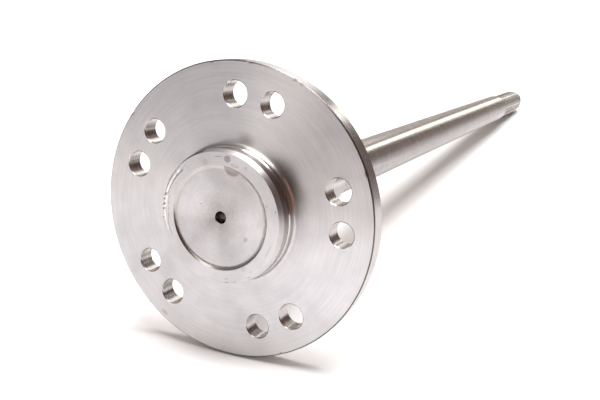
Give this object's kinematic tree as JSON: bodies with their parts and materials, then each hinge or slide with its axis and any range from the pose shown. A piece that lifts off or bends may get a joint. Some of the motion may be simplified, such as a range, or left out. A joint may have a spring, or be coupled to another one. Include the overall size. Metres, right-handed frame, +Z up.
{
  "type": "axle shaft",
  "caption": "Flanged axle shaft: a round wheel flange with paired stud holes and a stepped pilot on a long bar that ends in an involute spline and a clip groove.",
  "frame": {"origin": "middle of the footprint, on the surface that the shaft lies on", "axes": "+Z up, +Y along the lying shaft from the wheel flange to the splined end, +X to the right seen from the wheel side; the shaft's own axis leans about 5 degrees, because it rests on the flange's heel and the spline's tip"},
  "size_m": [0.1537, 0.769, 0.154],
  "materials": {
    "steel": "bright turned steel with fine tool marks"
  },
  "bodies": {
    "root": {"axle_shaft": "steel"}
  },
  "joints": []
}
